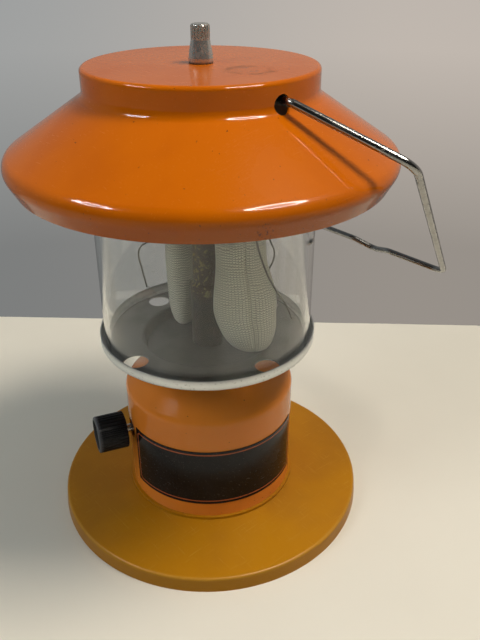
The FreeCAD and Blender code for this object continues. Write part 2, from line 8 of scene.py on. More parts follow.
# %% Load the construction
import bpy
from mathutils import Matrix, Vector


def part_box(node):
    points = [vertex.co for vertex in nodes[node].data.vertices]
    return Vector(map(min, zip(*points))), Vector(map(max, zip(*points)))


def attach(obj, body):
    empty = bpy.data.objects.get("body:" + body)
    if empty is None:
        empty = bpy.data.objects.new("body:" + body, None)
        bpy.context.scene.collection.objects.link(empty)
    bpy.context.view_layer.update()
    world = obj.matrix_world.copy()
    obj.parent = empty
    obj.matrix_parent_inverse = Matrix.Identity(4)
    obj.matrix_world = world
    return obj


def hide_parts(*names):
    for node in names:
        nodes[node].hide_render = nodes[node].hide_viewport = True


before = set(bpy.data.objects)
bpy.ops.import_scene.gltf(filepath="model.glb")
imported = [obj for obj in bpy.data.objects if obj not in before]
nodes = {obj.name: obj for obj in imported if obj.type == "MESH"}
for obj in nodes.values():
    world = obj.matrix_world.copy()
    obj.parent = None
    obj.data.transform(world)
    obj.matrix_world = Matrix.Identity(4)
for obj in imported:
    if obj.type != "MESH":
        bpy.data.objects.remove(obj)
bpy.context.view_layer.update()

import math

import bpy
from mathutils import Matrix, Vector

MM = 0.001

# %% [markdown]
# ## Camera
# The picture looks down on the lantern from the side of the knob.  A camera could be moved about by
# eye until the view fits.  Here it stands on a circle about the lantern's upright axis instead, so
# that its place is a turn, a reach and a height, and each can be corrected alone.  The lens is worked
# out from a focal length in pixels of a picture 640 pixels tall.

# %% Camera
CAMERA_TURN = math.radians(-38.5)
CAMERA_REACH = 0.3688
CAMERA_HEIGHT = 0.3306
CAMERA_PITCH = 0.513
CAMERA_PAN = 0.053
CAMERA_NEAREST = 0.01
FOCAL_PIXELS = 700
PICTURE_HEIGHT = 640
SENSOR = 36


def seen_from_camera(across, away, up):
    """Point given across, away from and above the camera's own heading, in the lantern's frame."""
    return Matrix.Rotation(CAMERA_TURN, 3, "Z") @ Vector((across, away, up))


bpy.ops.object.select_all(action="DESELECT")
bpy.ops.object.camera_add(location=seen_from_camera(0, -CAMERA_REACH, CAMERA_HEIGHT))
camera = bpy.context.object
camera.name = "picture_camera"
heading = seen_from_camera(
    math.sin(CAMERA_PAN) * math.cos(CAMERA_PITCH),
    math.cos(CAMERA_PAN) * math.cos(CAMERA_PITCH),
    -math.sin(CAMERA_PITCH))
camera.rotation_euler = heading.to_track_quat("-Z", "Y").to_euler()
camera.data.sensor_width = SENSOR
camera.data.lens = FOCAL_PIXELS / PICTURE_HEIGHT * SENSOR
camera.data.clip_start = CAMERA_NEAREST
bpy.context.scene.camera = camera
print("camera at", [round(part, 4) for part in camera.location])

# %% [markdown]
# ## Loose ends of the tie strings
# Each mantle is tied to its burner cap with a thread, and the ends of the knot hang free.  A thread
# could be a bent tube or a chain of short links.  It has a fixed length and hangs under its own
# weight, so one smooth curve led by a few points looks more like it, and the points are easy to move.
# Each point's radius is the thread's diameter and the bevel takes half of it, because a radius left
# at its default of one would make the curve's box metres wide.

# %% Routes of the tie strings
STRING_DIAMETER = 1.0 * MM
STRING_ROUTES = {  # points in millimetres, from the knot to the loose end
    "tie_string_back": [
        (-10.5, 28, 201), (-15.9, 27.5, 188), (-19.4, 27.5, 171.5), (-23, 33, 168),
        (-24.1, 34.5, 162), (-22.9, 33.5, 154.5), (-21, 32, 141)],
    "tie_string_short": [
        (10.5, -28, 201), (17.5, -28, 193), (21.5, -29, 180), (25, -32.6, 169.5),
        (21.6, -29.8, 161.5)],
    "tie_string_long": [
        (-0.9, -38.5, 201), (-1.2, -41.7, 193), (-1.9, -45.8, 184), (1.9, -48.3, 170),
        (11.4, -46.7, 156), (24, -40.8, 144), (34.2, -37.4, 127.5)],
}
print("points on the strings", {node: len(route) for node, route in STRING_ROUTES.items()})

# %% Tie strings
RADIUS_SHARE = 0.5
STRING_STEPS = 16
STRING_ROUNDING = 3


def make_string(node, route):
    """Thread along the route of one construction node, which it replaces."""
    curve = bpy.data.curves.new(f"{node}_thread", "CURVE")
    curve.dimensions = "3D"
    line = curve.splines.new("NURBS")
    line.points.add(len(route) - 1)
    for point, spot in zip(line.points, route):
        point.co = (*(Vector(spot) * MM), 1)
        point.radius = STRING_DIAMETER
    line.order_u = 3
    line.use_endpoint_u = True
    line.resolution_u = STRING_STEPS
    curve.bevel_depth = RADIUS_SHARE
    curve.bevel_resolution = STRING_ROUNDING
    curve.use_fill_caps = True
    thread = bpy.data.objects.new(f"{node}_thread", curve)
    bpy.context.scene.collection.objects.link(thread)
    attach(thread, "lantern")
    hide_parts(node)
    return thread


strings = [make_string(node, route) for node, route in STRING_ROUTES.items()]
print("strings", [thread.name for thread in strings])

# %% [markdown]
# ## Shared surface effects
# Scratches, smudges, specks, worn edges and painted highlights along edges turn up on several finishes
# of this lantern.  They could be built again in every material.  Here each is a shader node group with
# named inputs, built once, and every material sets its own values on it.  A group gives out only a mask,
# and the material decides what the mask does to its colour, gloss and relief.  The patterns of these
# groups read Object coordinates, which are metres here.

# %% Helpers for nodes
def add_node(tree, kind, values=None, **settings):
    """New node with its settings, and its unlinked inputs set by name or number."""
    node = tree.nodes.new(kind)
    for name, setting in settings.items():
        setattr(node, name, setting)
    for socket, amount in (values or {}).items():
        node.inputs[socket].default_value = amount
    return node


def feed(tree, source, socket):
    """Put a plain number into a socket, or link another socket to it."""
    if isinstance(source, (int, float)):
        socket.default_value = source
    else:
        tree.links.new(source, socket)


print("helpers for nodes", add_node.__name__, feed.__name__)


# %% Helpers for numbers
def math_node(tree, operation, *operands, clamp=False):
    """Math node whose operands are sockets or plain numbers; returns its result socket."""
    node = add_node(tree, "ShaderNodeMath", operation=operation, use_clamp=clamp)
    for operand, socket in zip(operands, node.inputs):
        feed(tree, operand, socket)
    return node.outputs[0]


def ramp(tree, source, low, high, to_low=0.0, to_high=1.0):
    """Value carried smoothly from one range to another; the ends may be sockets."""
    node = add_node(tree, "ShaderNodeMapRange", {"To Min": to_low, "To Max": to_high},
                    interpolation_type="SMOOTHSTEP")
    for operand, name in ((source, "Value"), (low, "From Min"), (high, "From Max")):
        feed(tree, operand, node.inputs[name])
    return node.outputs["Result"]


def distance(tree, *sides):
    """Length of a vector from its parts."""
    squares = [math_node(tree, "MULTIPLY", side, side) for side in sides]
    total = squares[0]
    for square in squares[1:]:
        total = math_node(tree, "ADD", total, square)
    return math_node(tree, "SQRT", total)


print("helpers for numbers", math_node.__name__, ramp.__name__, distance.__name__)


# %% Helpers for places and groups
def object_parts(tree, turn=0.0, coordinate="Object"):
    """X, Y and Z of the surface point, turned about the upright axis where asked."""
    place = add_node(tree, "ShaderNodeTexCoord")
    mapping = add_node(tree, "ShaderNodeMapping", {"Rotation": (0, 0, turn)})
    tree.links.new(place.outputs[coordinate], mapping.inputs["Vector"])
    parts = add_node(tree, "ShaderNodeSeparateXYZ")
    tree.links.new(mapping.outputs["Vector"], parts.inputs[0])
    return parts.outputs


def new_group(name, inputs):
    """Empty shader group with numbers in and one mask out; returns it with its entry and exit."""
    group = bpy.data.node_groups.new(name, "ShaderNodeTree")
    for socket, start in inputs.items():
        made = group.interface.new_socket(socket, in_out="INPUT", socket_type="NodeSocketFloat")
        made.default_value = start
    group.interface.new_socket("Mask", in_out="OUTPUT", socket_type="NodeSocketFloat")
    return group, group.nodes.new("NodeGroupInput"), group.nodes.new("NodeGroupOutput")


print("helpers for places and groups", object_parts.__name__, new_group.__name__)

# %% Scratches
SCRATCH_RUNS = (  # how each run of hairlines is turned, and how its noise is squeezed along each axis
    ((0.0, 0.0, 0.5), (45, 2200, 900)),
    ((0.4, 0.9, -0.6), (2200, 60, 1200)))
SCRATCH_EDGE = 0.06


def make_scratches():
    """Fine straight hairlines in two directions; Threshold sets how few there are."""
    group, entry, leave = new_group("fine_scratches", {"Threshold": 0.7})
    place = add_node(group, "ShaderNodeTexCoord")
    runs = []
    for turn, squeeze in SCRATCH_RUNS:
        mapping = add_node(group, "ShaderNodeMapping", {"Rotation": turn, "Scale": squeeze})
        group.links.new(place.outputs["Object"], mapping.inputs["Vector"])
        noise = add_node(group, "ShaderNodeTexNoise", {"Scale": 1.0, "Detail": 1.0})
        group.links.new(mapping.outputs["Vector"], noise.inputs["Vector"])
        runs.append(noise.outputs[0])
    most = math_node(group, "MAXIMUM", *runs)
    high = math_node(group, "ADD", entry.outputs["Threshold"], SCRATCH_EDGE)
    group.links.new(ramp(group, most, entry.outputs["Threshold"], high), leave.inputs["Mask"])
    return group


SCRATCHES = make_scratches()
print("group", SCRATCHES.name, "of", len(SCRATCHES.nodes), "nodes")

# %% Smudges, specks and streaks
PATCH_ROUGHNESS = 0.6
UPRIGHT_STRETCH = (1, 1, 0.07)


def make_patches(name, scale, detail, low, high, stretch=(1, 1, 1)):
    """Patches of noise between two levels, stretched where asked; Shift makes them fewer."""
    group, entry, leave = new_group(name, {"Scale": scale, "Shift": 0.0})
    place = add_node(group, "ShaderNodeTexCoord")
    mapping = add_node(group, "ShaderNodeMapping", {"Scale": stretch})
    group.links.new(place.outputs["Object"], mapping.inputs["Vector"])
    noise = add_node(group, "ShaderNodeTexNoise", {"Detail": detail, "Roughness": PATCH_ROUGHNESS})
    group.links.new(mapping.outputs["Vector"], noise.inputs["Vector"])
    group.links.new(entry.outputs["Scale"], noise.inputs["Scale"])
    level = math_node(group, "SUBTRACT", noise.outputs[0], entry.outputs["Shift"])
    group.links.new(ramp(group, level, low, high), leave.inputs["Mask"])
    return group


SMUDGES = make_patches("smudges", scale=25.0, detail=3.0, low=0.42, high=0.68)
SPECKS = make_patches("specks", scale=900.0, detail=2.0, low=0.60, high=0.66)
STREAKS = make_patches("streaks", scale=40.0, detail=4.0, low=0.50, high=0.72,
                       stretch=UPRIGHT_STRETCH)
print("groups", [group.name for group in (SMUDGES, SPECKS, STREAKS)])


# %% Rings of wear and painted highlight
def make_ring_wear_and_highlight():
    """Mask close to a level circle about an upright axis, such as a rim; Reach is its spread."""
    group, entry, leave = new_group(
        "ring_wear_and_highlight",
        {"Centre X": 0.0, "Centre Y": 0.0, "Radius": 0.05, "Height": 0.1, "Reach": 0.004})
    x, y, z = object_parts(group)
    across = math_node(group, "SUBTRACT", x, entry.outputs["Centre X"])
    along = math_node(group, "SUBTRACT", y, entry.outputs["Centre Y"])
    out = math_node(group, "SUBTRACT", distance(group, across, along), entry.outputs["Radius"])
    up = math_node(group, "SUBTRACT", z, entry.outputs["Height"])
    near = math_node(group, "DIVIDE", distance(group, out, up), entry.outputs["Reach"])
    group.links.new(ramp(group, near, 0.0, 1.0, to_low=1.0, to_high=0.0), leave.inputs["Mask"])
    return group


RING_WEAR_AND_HIGHLIGHT = make_ring_wear_and_highlight()
print("group", RING_WEAR_AND_HIGHLIGHT.name, "of", len(RING_WEAR_AND_HIGHLIGHT.nodes), "nodes")

# %% [markdown]
# ## A finish in layers
# A real surface is a plain coat with marks over it: a smudge dulls the gloss, and a chip shows the
# steel.  Each material could be wired by hand, node by node.  A small class does the same wiring for
# all of them: it holds one Principled shader, and lays colours, numbers and relief over it, each
# through a mask.  So a finish reads as a list of its layers.


# %% Helper for materials
class Finish:
    """A material under construction: its tree, its Principled shader and ways to layer masks."""

    def __init__(self, name, **sockets):
        self.material = bpy.data.materials.new(name)
        self.material.use_nodes = True
        self.tree = self.material.node_tree
        self.shader = self.tree.nodes["Principled BSDF"]
        for socket, amount in sockets.items():
            self.shader.inputs[socket.replace("_", " ")].default_value = amount

    def mask(self, group, **values):
        """Mask of a shared group with its own values."""
        node = add_node(self.tree, "ShaderNodeGroup", node_tree=group)
        for socket, amount in values.items():
            node.inputs[socket.replace("_", " ")].default_value = amount
        return node.outputs["Mask"]

    def both(self, *masks):
        """Where both of two masks are."""
        return math_node(self.tree, "MULTIPLY", *masks)

    def over(self, mask, strength, tint):
        """Lay one more colour over the base colour, through a mask."""
        base = self.shader.inputs["Base Color"]
        mix = add_node(self.tree, "ShaderNodeMix", {6: base.default_value, 7: (*tint, 1)},
                       data_type="RGBA")
        if base.is_linked:
            self.tree.links.new(base.links[0].from_socket, mix.inputs[6])
        self.tree.links.new(math_node(self.tree, "MULTIPLY", mask, strength), mix.inputs[0])
        self.tree.links.new(mix.outputs[2], base)

    def colour(self, start, *layers):
        """Base colour with layers over it, each a mask, a strength and a colour."""
        self.shader.inputs["Base Color"].default_value = (*start, 1)
        for layer in layers:
            self.over(*layer)

    def level(self, socket, start, *layers):
        """Number such as Roughness that starts plain, or as it stands for None, and moves with masks."""
        goal = self.shader.inputs[socket]
        last = start
        if last is None:
            last = goal.links[0].from_socket
        for mask, amount in layers:
            share = math_node(self.tree, "MULTIPLY", mask, amount)
            last = math_node(self.tree, "ADD", share, last, clamp=True)
        self.tree.links.new(last, goal)

    def relief(self, height, strength, depth):
        """Bump from a height, laid over any bump that is there."""
        bump = add_node(self.tree, "ShaderNodeBump", {"Strength": strength, "Distance": depth})
        self.tree.links.new(height, bump.inputs["Height"])
        normal = self.shader.inputs["Normal"]
        if normal.is_linked:
            self.tree.links.new(normal.links[0].from_socket, bump.inputs["Normal"])
        self.tree.links.new(bump.outputs["Normal"], normal)


print("helper for materials", Finish.__name__)


# %% Helper for dressing
def dress(finish, *names):
    """Give construction nodes a finished material, and say which."""
    for name in names:
        mesh = nodes[name].data
        mesh.materials.clear()
        mesh.materials.append(finish.material)
    print(finish.material.name, "on", ", ".join(names))


print("pieces to dress", len(nodes))

# %% [markdown]
# ## Orange enamel
# The hat and the body shell are pressed steel with a thick glossy enamel.  It has a faint orange-peel
# surface, hairline scratches, duller smudges, pinholes, and small chips along one edge, where the dark
# steel shows.  A plain glossy orange would be quicker, but it looks like new plastic, so the marks are
# laid over it one by one.  One function makes both finishes, because only the orange and the chipped
# edge differ.  The two oranges are one enamel: the shell's is painted lighter as painted light, and the
# hat's is painted darker as painted shade.

# %% Enamel
ENAMEL_SCUFF = (0.85, 0.34, 0.08)
CHIP = (0.05, 0.022, 0.012)


def enamel(name, fresh, deep, rim_radius, rim_height, chip_reach):
    """Glossy enamel with smudges, hairlines, pinholes, and chips near one rim."""
    finish = Finish(name, Coat_Weight=0.4, Coat_Roughness=0.02, Specular_IOR_Level=0.06)
    smudge = finish.mask(SMUDGES, Scale=18)
    scratch = finish.mask(SCRATCHES, Threshold=0.70)
    rim = finish.mask(RING_WEAR_AND_HIGHLIGHT, Radius=rim_radius, Height=rim_height, Reach=chip_reach)
    chips = finish.both(rim, finish.mask(SPECKS, Scale=520, Shift=0.09))
    pinholes = finish.mask(SPECKS, Scale=420, Shift=0.12)
    peel = finish.mask(SMUDGES, Scale=420)
    finish.colour(fresh, (smudge, 0.5, deep), (scratch, 0.10, ENAMEL_SCUFF), (chips, 1.0, CHIP),
                  (pinholes, 0.8, CHIP))
    finish.level("Roughness", 0.12, (smudge, 0.10), (scratch, 0.18), (chips, 0.35))
    finish.relief(peel, strength=0.04, depth=0.0004)
    finish.relief(chips, strength=-0.3, depth=0.0002)
    return finish


# painted light: the shell's orange is the same enamel painted lighter, standing in for more light on the
# shell
SHELL_ORANGE_PAINTED_LIGHTER = (0.80, 0.24, 0.03)
SHELL_DEEP_PAINTED_LIGHTER = (0.70, 0.19, 0.02)
shell_low, shell_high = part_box("body_shell")
SHELL_RADIUS = shell_high.y
shell_enamel = enamel("shell_enamel", SHELL_ORANGE_PAINTED_LIGHTER, SHELL_DEEP_PAINTED_LIGHTER,
                      rim_radius=SHELL_RADIUS, rim_height=shell_low.z, chip_reach=0.003)
dress(shell_enamel, "body_shell")
print("shell radius", round(SHELL_RADIUS, 4))

# %% [markdown]
# ## Marks on the hat
# The hat has been used: a cup has left a dull ring on its flat top and a smaller one where it
# slipped, one part of the cone is rubbed matt, and the skirt has a knock.  Such marks could be
# painted by hand on a picture of the hat.  A worn ring of no radius is a round spot, so the shared
# ring makes all four, and its size and place stay numbers that can be read and changed.

# %% Hat
# painted shade: the hat's orange is the same enamel painted darker, standing in for less light on the
# hat
HAT_ORANGE_PAINTED_DARKER = (0.56, 0.122, 0.0005)
HAT_DEEP_PAINTED_DARKER = (0.475, 0.094, 0.0004)
CHIPS_ABOVE_EDGE = 0.006
hat_low, hat_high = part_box("hat")
HAT_RADIUS = hat_high.y
hat_enamel = enamel("hat_enamel", HAT_ORANGE_PAINTED_DARKER, HAT_DEEP_PAINTED_DARKER, rim_radius=HAT_RADIUS,
                    rim_height=hat_low.z + CHIPS_ABOVE_EDGE, chip_reach=0.013)
dress(hat_enamel, "hat")
print("hat radius", round(HAT_RADIUS, 4))

# %% Cup marks, rubbing and knock
CUP_STAIN = (0.24, 0.075, 0.02)
CUP_RING = dict(Centre_X=0.0048, Centre_Y=-0.0313, Radius=0.0105, Height=hat_high.z, Reach=0.0040)
CUP_SLIP = dict(Centre_X=0.0020, Centre_Y=-0.0280, Radius=0.0062, Height=hat_high.z, Reach=0.0050)
RUBBED_SPOT = dict(Centre_X=-0.0279, Centre_Y=-0.0853, Radius=0.0, Height=0.2364, Reach=0.05)
KNOCKED_SPOT = dict(Centre_X=-0.0407, Centre_Y=-0.0919, Radius=0.0, Height=0.2193, Reach=0.008)
ring_mark = hat_enamel.both(
    hat_enamel.mask(RING_WEAR_AND_HIGHLIGHT, **CUP_RING), hat_enamel.mask(SMUDGES, Scale=150, Shift=-0.03))
slip_mark = hat_enamel.both(
    hat_enamel.mask(RING_WEAR_AND_HIGHLIGHT, **CUP_SLIP), hat_enamel.mask(SMUDGES, Scale=320, Shift=-0.01))
rubbed = hat_enamel.mask(RING_WEAR_AND_HIGHLIGHT, **RUBBED_SPOT)
rubbing = hat_enamel.both(rubbed, hat_enamel.mask(SCRATCHES, Threshold=0.60))
knock = hat_enamel.both(
    hat_enamel.mask(RING_WEAR_AND_HIGHLIGHT, **KNOCKED_SPOT), hat_enamel.mask(SPECKS, Scale=700, Shift=-0.02))
hat_enamel.over(ring_mark, 0.8, CUP_STAIN)
hat_enamel.over(slip_mark, 0.6, CUP_STAIN)
hat_enamel.over(knock, 1.0, CHIP)
hat_enamel.level("Roughness", None, (ring_mark, 0.25), (rubbed, 0.18), (rubbing, 0.22))
hat_enamel.relief(rubbing, strength=-0.12, depth=0.0001)
for spot in (CUP_RING, CUP_SLIP, RUBBED_SPOT, KNOCKED_SPOT):
    print("mark on the hat at", spot["Centre_X"], spot["Centre_Y"], round(spot["Height"], 4))

# %% [markdown]
# ## Ochre base
# The base is a moulded disc of coloured plastic.  It has a satin skin with wandering scratches, a slight
# mottle, and a painted highlight along its top edge.  Its colour could be one flat ochre, but plastic of
# this age is uneven, so a deeper shade lies over it in soft patches, and a pale painted highlight
# follows the disc's edge as a ring.

# %% Ochre base
OCHRE = (0.45, 0.180, 0.002)
OCHRE_DEEP = (0.37, 0.142, 0.002)
# pale shade for the scratches, and for the painted highlight along the edge
OCHRE_SCUFF_AND_HIGHLIGHT = (0.54, 0.27, 0.03)
BASE_EDGE = 0.0088
EDGE_INSET = 0.001
BASE_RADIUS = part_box("base_stand")[1].y
base = Finish("ochre_base", Specular_IOR_Level=0.22)
base_smudge = base.mask(SMUDGES, Scale=14)
base_scratch = base.mask(SCRATCHES, Threshold=0.685)
# painted highlight: a pale ring along the top of the disc's edge
base_edge_highlight = base.mask(RING_WEAR_AND_HIGHLIGHT, Radius=BASE_RADIUS - EDGE_INSET, Height=BASE_EDGE, Reach=0.0022)
base.colour(OCHRE, (base_smudge, 0.8, OCHRE_DEEP), (base_scratch, 0.55, OCHRE_SCUFF_AND_HIGHLIGHT),
            (base_edge_highlight, 0.45, OCHRE_SCUFF_AND_HIGHLIGHT))
base.level("Roughness", 0.34, (base_smudge, 0.12), (base_scratch, 0.2))
base.relief(base.mask(SMUDGES, Scale=700), strength=0.06, depth=0.0003)
dress(base, "base_stand")

# %% [markdown]
# ## Zinc sheet
# The globe plate and the sheet parts under the hat are zinc-coated steel, dull on the flat, with a
# painted highlight along the rolled lip.  Two materials could share the plate, but they would meet at a
# hard line.  So it is one half-metal finish, and a wide ring of painted highlight brightens it softly
# towards the lip.

# %% Zinc sheet
ZINC = (0.155, 0.153, 0.14)
ZINC_DULL = (0.105, 0.103, 0.094)
# near-white, for the painted highlight along the lip
ZINC_LIP_HIGHLIGHT = (0.86, 0.87, 0.84)
ZINC_DIRT = (0.14, 0.12, 0.10)
LIP_BELOW_TOP = 0.003
plate_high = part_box("globe_plate")[1]
zinc = Finish("zinc_sheet", Metallic=0.65)
zinc_patch = zinc.mask(SMUDGES, Scale=40)
zinc_speck = zinc.mask(SPECKS, Scale=600, Shift=0.02)
# painted highlight: a bright ring along the plate's rolled lip
zinc_lip_highlight = zinc.mask(
    RING_WEAR_AND_HIGHLIGHT, Radius=plate_high.y, Height=plate_high.z - LIP_BELOW_TOP, Reach=0.006)
zinc.colour(ZINC, (zinc_patch, 0.5, ZINC_DULL), (zinc_lip_highlight, 0.9, ZINC_LIP_HIGHLIGHT),
            (zinc_speck, 0.4, ZINC_DIRT))
zinc.level("Roughness", 0.36, (zinc_patch, 0.16))
zinc.relief(zinc.mask(SMUDGES, Scale=260), strength=0.03, depth=0.0003)
dress(zinc, "globe_plate", "chimney_ring", "heat_shield")

# %% [markdown]
# ## Wire, nuts and brass
# The bail is bright drawn wire with a little rust, the nuts are greyer with dirt in the knurl and darker
# round the foot of the finial, and the valve is brass.  One metal could serve for all three, but each
# has its own gloss, so each is a short finish of the same kind: a metal, duller patches and dark specks.

# %% Bail wire
WIRE = (0.33, 0.325, 0.31)
WIRE_DULL = (0.21, 0.205, 0.195)
WIRE_RUST = (0.22, 0.17, 0.12)
wire = Finish("bright_wire", Metallic=1.0)
wire_smudge = wire.mask(SMUDGES, Scale=120)
wire_speck = wire.mask(SPECKS, Scale=700, Shift=0.05)
wire.colour(WIRE, (wire_smudge, 0.5, WIRE_DULL), (wire_speck, 0.6, WIRE_RUST))
wire.level("Roughness", 0.16, (wire_smudge, 0.12), (wire_speck, 0.3))
dress(wire, "bail")

# %% Nuts and stud
NUT = (0.58, 0.565, 0.52)
NUT_DULL = (0.40, 0.385, 0.345)
NUT_DIRT = (0.16, 0.13, 0.10)
NUT_FOOT_DARK = (0.03, 0.022, 0.016)
finial_low, finial_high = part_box("finial_nut")
nut = Finish("grey_nut", Metallic=0.8)
nut_smudge = nut.mask(SMUDGES, Scale=200)
nut_speck = nut.mask(SPECKS, Scale=1400)
# darker ring round the foot of the finial nut, where it meets the hat
nut_foot = nut.mask(RING_WEAR_AND_HIGHLIGHT, Radius=finial_high.y, Height=finial_low.z, Reach=0.0016)
nut.colour(NUT, (nut_smudge, 0.6, NUT_DULL), (nut_speck, 0.4, NUT_DIRT), (nut_foot, 0.9, NUT_FOOT_DARK))
nut.level("Roughness", 0.22, (nut_smudge, 0.16))
dress(nut, "finial_nut", "top_stud", "shield_nut", "valve_stem")

# %% Valve brass
BRASS = (0.60, 0.42, 0.16)
BRASS_DULL = (0.36, 0.24, 0.10)
BRASS_DIRT = (0.14, 0.09, 0.05)
brass = Finish("valve_brass_finish", Metallic=1.0)
brass_smudge = brass.mask(SMUDGES, Scale=90)
brass_speck = brass.mask(SPECKS, Scale=800, Shift=0.04)
brass.colour(BRASS, (brass_smudge, 0.6, BRASS_DULL), (brass_speck, 0.6, BRASS_DIRT))
brass.level("Roughness", 0.30, (brass_smudge, 0.2))
dress(brass, "valve_body", "packing_nut")

# %% [markdown]
# ## Burner
# The burner tube has been hot: its metal is brown, and a yellow-green crust has grown in specks on one
# side of its upper part, while the sleeve below is darker and smoother.  The tube could be cut in two
# to take two materials.  One material serves, because the height of a point says whether it is on the
# sleeve, and a turned coordinate says whether it is on the crusted side.

# %% Burner metal
SLEEVE = (0.050, 0.046, 0.040)
HOT_BROWN = (0.070, 0.042, 0.022)
BURNER_PATCH = (0.12, 0.085, 0.055)
CRUST = (0.38, 0.32, 0.12)
SLEEVE_TOP = 0.1495
CRUST_FADE = 0.012
CRUST_TURN = math.radians(38.5)
CRUST_EDGE = (-0.002, 0.004)
burner = Finish("burner_brown", Metallic=0.3, Specular_IOR_Level=0.3)
burner_height = object_parts(burner.tree)[2]
upper = ramp(burner.tree, burner_height, SLEEVE_TOP - CRUST_FADE, SLEEVE_TOP)
burner_patch = burner.mask(SMUDGES, Scale=90)
across_tube = object_parts(burner.tree, turn=CRUST_TURN)[0]
crusted_side = ramp(burner.tree, across_tube, *CRUST_EDGE, to_low=1.0, to_high=0.15)
crust = burner.both(burner.both(upper, crusted_side), burner.mask(SPECKS, Scale=420, Shift=-0.06))
burner.colour(SLEEVE, (upper, 0.9, HOT_BROWN), (burner_patch, 0.4, BURNER_PATCH), (crust, 0.75, CRUST))
burner.level("Roughness", 0.30, (upper, 0.15), (burner_patch, 0.12), (crust, 0.35))
burner.relief(crust, strength=0.5, depth=0.0004)
dress(burner, "burner_tube", "burner_manifold", "burner_cap_front", "burner_cap_back")

# %% [markdown]
# ## Knob
# The knob is black moulded plastic, with a grey ring round the rim of its end that is partly wear and
# partly a painted highlight.  The ring could be a ring of faces with a second material, but it has no
# sharp border.  Here it is worked out from a point's place along the knob's own axis and its distance
# from that axis, so it fades at both sides.

# %% Knob
KNOB_BLACK = (0.0035, 0.0035, 0.004)
KNOB_BLOOM = (0.007, 0.007, 0.008)
KNOB_SCUFF = (0.05, 0.05, 0.05)
KNOB_WEAR_AND_HIGHLIGHT = (0.11, 0.11, 0.115)
KNOB_TURN = math.radians(160)
KNOB_END = 0.0735
KNOB_RADIUS = 0.0113
STEM_RADIUS = 0.0025
END_FADE = (0.0022, 0.0006)
RIM_FADE = (0.0024, 0.0016)
knob = Finish("black_knob", Specular_IOR_Level=0.25)
along_knob, across_knob, knob_height = object_parts(knob.tree, turn=-KNOB_TURN)
knob_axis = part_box("valve_stem")[0].z + STEM_RADIUS
from_axis = distance(knob.tree, across_knob, math_node(knob.tree, "SUBTRACT", knob_height, knob_axis))
near_end = ramp(knob.tree, along_knob, *(KNOB_END - inset for inset in END_FADE))
near_rim = ramp(knob.tree, from_axis, *(KNOB_RADIUS - inset for inset in RIM_FADE))
# grey ring round the rim of the knob's end: partly wear, partly painted highlight
rim_wear_and_highlight = knob.both(near_end, near_rim)
knob_smudge = knob.mask(SMUDGES, Scale=150)
knob_scratch = knob.mask(SCRATCHES, Threshold=0.68)
knob.colour(KNOB_BLACK, (knob_smudge, 0.5, KNOB_BLOOM), (knob_scratch, 0.4, KNOB_SCUFF),
            (rim_wear_and_highlight, 0.8, KNOB_WEAR_AND_HIGHLIGHT))
knob.level("Roughness", 0.38, (knob_smudge, 0.12), (knob_scratch, 0.15))
dress(knob, "valve_knob")

# %% [markdown]
# ## Label
# The label is a dark film with one thin border line, wrapped round the shell.  The line could be a
# thin raised strip, but on a film it is flat ink.  It is worked out from how far a point is inside
# the label's edge, measured along the curve of the shell, so that the line keeps its width all round.

# %% Border line
LABEL_MIDDLE = math.radians(236.5)
LABEL_SPAN = math.radians(130)
LINE_INSET = 2.2 * MM
LINE_WIDTH = 0.9 * MM
CORNER_CUT = 3.0 * MM
label_low, label_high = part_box("label_panel")


def label_line(tree):
    """Mask of the border line, from how far a point is inside the label's edge."""
    x, y, z = object_parts(tree, turn=-LABEL_MIDDLE)
    angle = math_node(tree, "ABSOLUTE", math_node(tree, "ARCTAN2", y, x))
    around = math_node(tree, "MULTIPLY", angle, SHELL_RADIUS)
    side = math_node(tree, "SUBTRACT", LABEL_SPAN / 2 * SHELL_RADIUS, around)
    middle, half = (label_low.z + label_high.z) / 2, (label_high.z - label_low.z) / 2
    up = math_node(tree, "ABSOLUTE", math_node(tree, "SUBTRACT", z, middle))
    end = math_node(tree, "SUBTRACT", half, up)
    past_cut = math_node(tree, "SUBTRACT", math_node(tree, "ADD", side, end), CORNER_CUT)
    corner = math_node(tree, "MULTIPLY", past_cut, math.sqrt(0.5))
    inside = math_node(tree, "MINIMUM", math_node(tree, "MINIMUM", side, end), corner)
    off = math_node(tree, "ABSOLUTE", math_node(tree, "SUBTRACT", inside, LINE_INSET))
    return math_node(tree, "LESS_THAN", off, LINE_WIDTH / 2)


print("label from", round(label_low.z, 4), "to", round(label_high.z, 4), "m up")

# %% Label film
FILM = (0.009, 0.008, 0.008)
FILM_BLOOM = (0.016, 0.014, 0.013)
FILM_LINE = (0.42, 0.10, 0.035)
FILM_SCUFF = (0.10, 0.085, 0.07)
label = Finish("label_film_finish", Specular_IOR_Level=0.2)
label_smudge = label.mask(SMUDGES, Scale=35)
label_scratch = label.mask(SCRATCHES, Threshold=0.69)
label.colour(FILM, (label_smudge, 0.6, FILM_BLOOM), (label_line(label.tree), 0.95, FILM_LINE),
             (label_scratch, 0.3, FILM_SCUFF))
label.level("Roughness", 0.16, (label_smudge, 0.12), (label_scratch, 0.2))
dress(label, "label_panel")

# %% [markdown]
# ## Glass
# The globe is clear glass with old smoke and finger marks.  Thin patches of dirt could float just off
# the glass, but every layer of see-through faces costs light.  The marks scatter a little light, so
# they are made in the glass's own finish: rougher streaks with a trace of brown in the colour, drawn
# out along the height.

